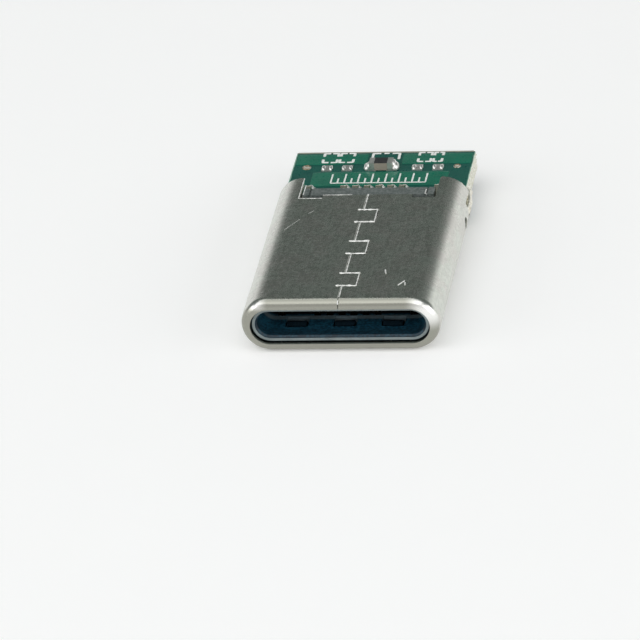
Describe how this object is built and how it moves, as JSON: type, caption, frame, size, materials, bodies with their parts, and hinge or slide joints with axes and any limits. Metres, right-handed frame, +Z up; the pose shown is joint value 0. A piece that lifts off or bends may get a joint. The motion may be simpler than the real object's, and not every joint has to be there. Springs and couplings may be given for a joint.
{
  "type": "usb-c connector",
  "caption": "Reversible flat data plug in a folded steel shell, soldered to a small green board with two bare wire pads.",
  "frame": {"origin": "middle of the flat underside, halfway from the mouth to the board's rear edge", "axes": "+Y from the mouth towards the board, +X across the plug, +Z up out of the seam side"},
  "size_m": [0.0082, 0.0144, 0.0024],
  "materials": {
    "shell_steel": "satin nickel-plated sheet",
    "black_moulding": "matt moulding",
    "grey_moulding": "matt moulding",
    "spring_steel": "bright strip",
    "contact_gold": "pale gold plate",
    "board_green": "green solder resist",
    "tinned_pad": "matt tin",
    "solder": "bright solder",
    "resistor_ceramic": "glazed top",
    "resistor_cap": "tinned"
  },
  "bodies": {
    "root": {"shell": "shell_steel", "front_insulator": "black_moulding", "upper_contact_block": "grey_moulding", "lower_contact_block": "grey_moulding", "latch_plate": "spring_steel", "upper_ground_spring": "spring_steel", "lower_ground_spring": "spring_steel", "board": "board_green", "minus_pad": "tinned_pad", "plus_pad": "tinned_pad", "upper_contact_pads": "tinned_pad", "lower_contact_pads": "tinned_pad", "component_pads": "tinned_pad", "resistor_body": "resistor_ceramic", "resistor_caps": "resistor_cap", "resistor_solder": "solder", "upper_foot_solder": "solder", "lower_foot_solder": "solder", "left_shell_solder": "solder", "right_shell_solder": "solder", "upper_contact_1": "contact_gold", "upper_contact_4": "contact_gold", "upper_contact_5": "contact_gold", "upper_contact_6": "contact_gold", "upper_contact_7": "contact_gold", "upper_contact_8": "contact_gold", "upper_contact_9": "contact_gold", "upper_contact_12": "contact_gold", "lower_contact_1": "contact_gold", "lower_contact_4": "contact_gold", "lower_contact_5": "contact_gold", "lower_contact_6": "contact_gold", "lower_contact_7": "contact_gold", "lower_contact_8": "contact_gold", "lower_contact_9": "contact_gold", "lower_contact_12": "contact_gold"}
  },
  "joints": []
}
